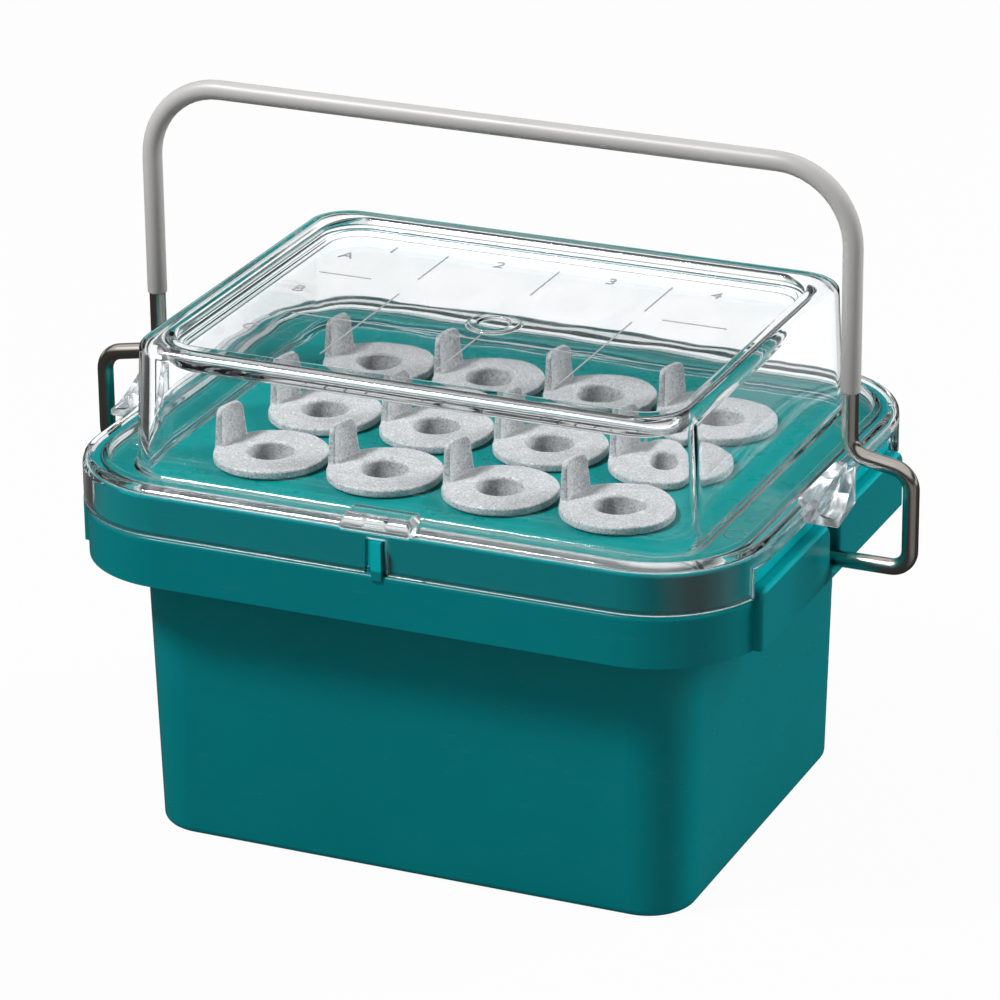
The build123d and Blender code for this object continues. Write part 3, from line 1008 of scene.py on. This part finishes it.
    def build(self) -> None:
        """Builds the lid and its ears."""
        x, y, radius = self.pin
        marks = [self.pin_mark(across * x, along * y, radius) for across in (-1, 1) for along in (-1, 1)]
        shell = moulded("clear_cover", [self.shell()] + marks)
        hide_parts("lid")
        ears = moulded("ears", [Ear().grid(side) for side in Side])
        for piece, finish in ((shell, CLEAR), (ears, FROSTED)):
            coat(piece, finish.material())
            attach(piece, "lid_body")


@dataclass(frozen=True)
class Ear:
    """The block on the lid in front of a handle leg, with a hollow ramp at its outer side."""

    front: float = -17.7
    back: float = -2.7
    low: float = 86.45
    nose: float = 88.25
    peak: float = 96.05
    block_front: float = 92.55
    inner: tuple[float, float] = (80.55, 83.85)
    outer: tuple[float, float] = (90.4, 88.85)
    block: tuple[float, float] = (85.5, 86.6)
    ramp_power: float = 1.7
    ramp_gap: float = 0.5

    def section(self, share: float) -> np.ndarray:
        """The outline across the ear at one place along it.

        The ramp's height is nose + (peak - gap - nose) * share ** power, a hollow curve, and the block
        beside it rises in a straight line.

        Args:
            share: 0 at the front and 1 at the back.

        Returns:
            x and z of the rounded outline.
        """
        near, far, middle = (a + share * (b - a) for a, b in (self.inner, self.outer, self.block))
        ramp = self.nose + (self.peak - self.ramp_gap - self.nose) * share**self.ramp_power
        top = self.block_front + (self.peak - self.block_front) * share
        start = (near, (self.low + top) / 2)
        outline = [
            start, (near, self.low), (far, self.low), (far, ramp),
            (middle, ramp), (middle, top), (near, top), start,
        ]
        rows = np.array([(x, 0.0, 0.0, z) for x, z in outline])
        radii = np.array([0.0, 0.4, 0.4, 0.6, 1.8, 0.8, 0.6, 0.0])
        return soften(rows, radii, 5)[:-1, Row.PLANE]

    def grid(self, side: Side) -> np.ndarray:
        """The ear's closed surface: the outline across it, carried from the front to the back.

        An outline's point is its middle + scale * (point - middle); the scale is zero at both ends.

        Args:
            side: the short side that it is on.

        Returns:
            The grid.
        """
        first, last = [0.0, 0.0, 0.006, 0.02], [0.98, 0.994, 1.0, 1.0]
        share = np.concatenate([first, np.linspace(0.06, 0.94, 14), last])
        scale = np.concatenate([[0.0, 0.94, 0.985], np.ones(16), [0.985, 0.94, 0.0]])
        sections = np.stack([self.section(place) for place in share])
        centre = sections.mean(axis=1, keepdims=True)
        shaped = centre + scale[:, None, None] * (sections - centre)
        depth = self.front + share[:, None] * (self.back - self.front)
        across = side.value * shaped[..., 0]
        return np.stack([across, np.broadcast_to(depth, across.shape), shaped[..., 1]], axis=2)


@dataclass(frozen=True)
class Marks:
    """Raised marks on the roof panel: the pattern's grid lines, its numbers and its letters."""

    level: float = 115.6
    relief: float = 0.14
    bar_sunk: float = 0.05
    sign_sunk: float = 0.02
    line: float = 0.42
    letter: float = 4.0
    font_scale: float = 1.35
    numbers: tuple[tuple[float, float], ...] = ((-42.3, 37.3), (-14.8, 37.2), (13.9, 36.5), (40.0, 36.9))
    letters: tuple[tuple[float, float], ...] = ((-51.0, 30.0), (-51.5, 5.0), (-51.0, -22.0))
    lines: tuple[tuple[float, float, float, float], ...] = (
        (-28.5, 38.0, -28.5, 21.0), (0.0, 38.0, 0.0, 21.0), (28.5, 38.0, 28.5, 21.0),
        (-28.5, 10.0, -28.5, -32.0), (0.0, -8.0, 0.0, -32.0), (28.5, 13.0, 28.5, -32.0),
        (-52.0, 17.0, -39.0, 17.0), (34.6, 17.0, 50.0, 17.0), (-46.0, -10.3, 46.0, -10.3),
    )

    def bar(self, start: np.ndarray, end: np.ndarray) -> np.ndarray:
        """A low bar with round ends: a point is its middle + u along it + v across it, on a rounded ring.

        Args:
            start: x and y of one end.
            end: x and y of the other.

        Returns:
            The grid.
        """
        along = (end - start) / np.linalg.norm(end - start)
        length, width = np.linalg.norm(end - start) / 2, self.line / 2
        sunk, top = -self.bar_sunk, self.relief
        height = np.array([sunk, sunk, 0.6 * top, top, top])
        round_end = width * np.array([0.0, 1.0, 0.95, 0.7, 0.0])
        rows = np.stack([length * (round_end > 0) + round_end, round_end, round_end, height], axis=1)
        flat = ring_grid(rows, ring_columns([], np.linspace(0.0, 90.0, 4), [0.5, 0.0]))
        across = np.array([-along[1], along[0]])
        spot = (start + end) / 2 + flat[..., :1] * along + flat[..., 1:2] * across
        return np.concatenate([spot, flat[..., 2:] + self.level], axis=2)

    def sign(self, text: str, spot: tuple[float, float]) -> bpy.types.Object:
        """One number or letter, as a thin raised mesh.

        Args:
            text: the character.
            spot: x and y of its middle.

        Returns:
            The piece.
        """
        curve = bpy.data.curves.new("sign", "FONT")
        curve.body = text
        curve.size = self.letter * self.font_scale * MM
        curve.extrude = self.relief / 2 * MM
        shaped = bpy.data.objects.new("sign", curve)
        mesh = bpy.data.meshes.new_from_object(shaped)
        bpy.data.objects.remove(shaped)
        points = np.empty(3 * len(mesh.vertices))
        mesh.vertices.foreach_get("co", points)
        points = points.reshape(-1, 3)
        middle = (points.min(0) + points.max(0)) / 2
        there = np.array([*spot, self.level + self.relief / 2 - self.sign_sunk]) * MM
        mesh.transform(Matrix.Translation(there - middle))
        mesh.name = f"mark_{text}"
        return stand(mesh.name, mesh)

    def build(self) -> None:
        """Builds the lines and the signs."""
        ends = np.array(self.lines).reshape(-1, 2, 2)
        pieces = [moulded("grid_lines", [self.bar(start, end) for start, end in ends])]
        pieces += [self.sign(str(number + 1), spot) for number, spot in enumerate(self.numbers)]
        pieces += [self.sign(letter, spot) for letter, spot in zip("ABC", self.letters)]
        finish = MARK.material()
        for piece in pieces:
            coat(piece, finish)
            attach(piece, "lid_body")


@dataclass(frozen=True)
class Lamp:
    """A square soft lamp, hung in one direction from the cooler and turned to it, in metres and watts."""

    name: str
    towards: tuple[float, float, float]
    distance: float
    size: float
    power: float
    shines: bool = True
    target: tuple[float, float, float] = (0.0, 0.0, 0.08)

    def build(self) -> None:
        """Hangs the lamp; glossy faces show it only where it shines."""
        data = bpy.data.lights.new(self.name, "AREA")
        data.shape = "SQUARE"
        data.size = self.size
        data.energy = self.power
        lamp = stand(self.name, data)
        aim = Vector(self.towards).normalized()
        lamp.location = Vector(self.target) + aim * self.distance
        lamp.rotation_euler = aim.to_track_quat("Z", "Y").to_euler()
        lamp.visible_glossy = self.shines
        lamp.visible_transmission = False


@dataclass(frozen=True)
class Studio:
    """The floor, the lamps, the world and the camera."""

    eye: tuple[float, float, float] = (431.2 * MM, -973.0 * MM, 509.3 * MM)
    azimuth: float = 23.85
    elevation: float = 22.32
    roll: float = -0.57
    lens: float = 179.33
    sensor: float = 36.0
    soft_level: float = 0.41
    passed_level: float = 1.5
    bright_level: float = 0.85
    slot_level: float = 0.03
    dark_level: float = 0.05
    floor_half: float = 6.0
    floor_drop: float = 0.0002
    floor_white: float = 0.42
    floor_gloss: float = 0.03
    floor_side: float = 0.25
    floor_back: float = 0.8
    floor_share: float = 0.96
    lamps: tuple[Lamp, ...] = (
        Lamp("key", (-0.56, -0.575, 1.0), distance=1.5, size=0.3, power=26.0),
        Lamp("fill", (0.72, 0.62, 0.4), distance=1.4, size=0.6, power=22.0, shines=False),
    )

    def build(self) -> None:
        """Makes all of the studio."""
        self.floor()
        self.world()
        for lamp in self.lamps:
            lamp.build()
        self.camera()

    def floor(self) -> None:
        """Lays the pale floor: it shows near white, and still takes the shadow."""
        side = self.floor_half
        mesh = bpy.data.meshes.new("floor")
        corners = [(-side, -side, 0), (side, -side, 0), (side, side, 0), (-side, side, 0)]
        mesh.from_pydata(corners, [], [(0, 1, 2, 3)])
        floor = stand("floor", mesh)
        floor.location.z = -self.floor_drop
        paint = Paint(bpy.data.materials.new("pale_floor"))
        lit = paint.out("ShaderNodeBsdfDiffuse", {"Color": rgba((self.floor_white,) * 3)})
        straight, passed, mirrored = self.rays(paint)
        share = (straight + passed + mirrored) * self.floor_share
        walls, = paint.light_path("Transmission Depth")
        right, depth, _ = paint.axes(paint.place())
        # Mirrored in the clear walls, the floor is brighter on the right and, seen from inside, at the back.
        beside = paint.ramp(right, 0.12, 0.2) * paint.ramp(depth, 0.02, -0.04) * self.floor_side
        beyond = paint.ramp(depth, 0.08, 0.25) * (walls > 0.5) * self.floor_back
        level = straight + passed * self.passed_level + mirrored * (beside + beyond + self.floor_gloss)
        bright = paint.out("ShaderNodeEmission", {"Color": WHITE, "Strength": level})
        shade = paint.out("ShaderNodeMixShader", {0: share, 1: lit, 2: bright})
        paint.close("ShaderNodeOutputMaterial", shade)
        floor.data.materials.append(paint.owner)

    def rays(self, paint: Paint) -> tuple[Wire, Wire, Wire]:
        """Sorts the rays, so that each is one on its own kind and zero on the rest.

        Args:
            paint: the material or world that asks.

        Returns:
            Rays from the camera, rays that only passed through clear walls, and mirrored rays; all three
            are zero on a ray that has left a matt face.
        """
        straight, gloss, through, spread, mirrors = paint.light_path(
            "Is Camera Ray", "Is Glossy Ray", "Is Transmission Ray", "Diffuse Depth", "Glossy Depth"
        )
        bent = ((gloss + through) > 0.5) * (1 - (spread > 0.5))
        mirrored = bent * (mirrors > 0.5)
        return straight, bent * (1 - (mirrors > 0.5)), mirrored

    def world(self) -> None:
        """White where it is seen, bright behind and above, dark behind the camera, soft for matt faces."""
        world = bpy.data.worlds.new("studio")
        bpy.context.scene.world = world
        paint = Paint(world)
        straight, passed, mirrored = self.rays(paint)
        _, depth, height = paint.axes(paint.out("ShaderNodeTexCoord", output="Generated"))
        # Mirrored faces see parts of the ray's direction: two bright bands behind with a dark one between
        # them, and a dark front that is bright from half way up.
        back = paint.ramp(depth, -0.1, 0.15)
        edges = paint.ramp(height, 0.12, 0.26, 1.0, 0.0) + paint.ramp(height, 0.48, 0.62)
        behind = edges * (self.bright_level - self.slot_level) + self.slot_level
        before = paint.ramp(height, 0.3, 0.45, self.dark_level, self.bright_level)
        seen = back * behind + (1 - back) * before
        soft = 1 - (straight + passed + mirrored)
        level = straight + passed * self.passed_level + mirrored * seen + soft * self.soft_level
        light = paint.out("ShaderNodeBackground", {"Color": WHITE, "Strength": level})
        paint.close("ShaderNodeOutputWorld", light)

    def camera(self) -> None:
        """Sets the camera where the photograph was taken from."""
        turn, rise, tilt = (math.radians(a) for a in (self.azimuth, self.elevation, self.roll))
        data = bpy.data.cameras.new("camera")
        data.lens = self.lens
        data.sensor_width = self.sensor
        data.clip_start = 0.05
        camera = stand("camera", data)
        level = Matrix.Rotation(turn, 4, "Z") @ Matrix.Rotation(math.pi / 2 - rise, 4, "X")
        camera.matrix_world = Matrix.Translation(self.eye) @ level @ Matrix.Rotation(tilt, 4, "Z")
        bpy.context.scene.camera = camera


def dress() -> None:
    """Gives every CAD node its finish: the wells are as the deck, and the rest as the holders."""
    finishes = {"tub": TEAL, "deck": DECK_TEAL, "gel_core": GEL, "fill_plug": PLUG}
    looks = {name: finish.material() for name, finish in finishes.items()}
    granite = GRANITE.material()
    for name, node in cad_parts.items():
        look = "deck" if name.startswith("well_") else name
        coat(node, looks.get(look, granite))
        LOG.info("%s dressed", name)


def settings() -> None:
    """Sets the view and how far light is followed through the clear walls."""
    scene = bpy.context.scene
    scene.view_settings.view_transform = "Standard"
    scene.cycles.caustics_refractive = False
    scene.cycles.caustics_reflective = False
    scene.cycles.max_bounces = 24
    scene.cycles.glossy_bounces = 14
    scene.cycles.transmission_bounces = 24


def main() -> None:
    """Builds the studio and every piece, and sets the render settings."""
    logging.basicConfig(level=logging.INFO)
    Studio().build()
    dress()
    Lid().build()
    Marks().build()
    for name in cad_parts:
        if name.startswith("insert_"):
            Holder().build(name.removeprefix("insert_"))
    Bail().build()
    settings()


if __name__ == "__main__":
    main()
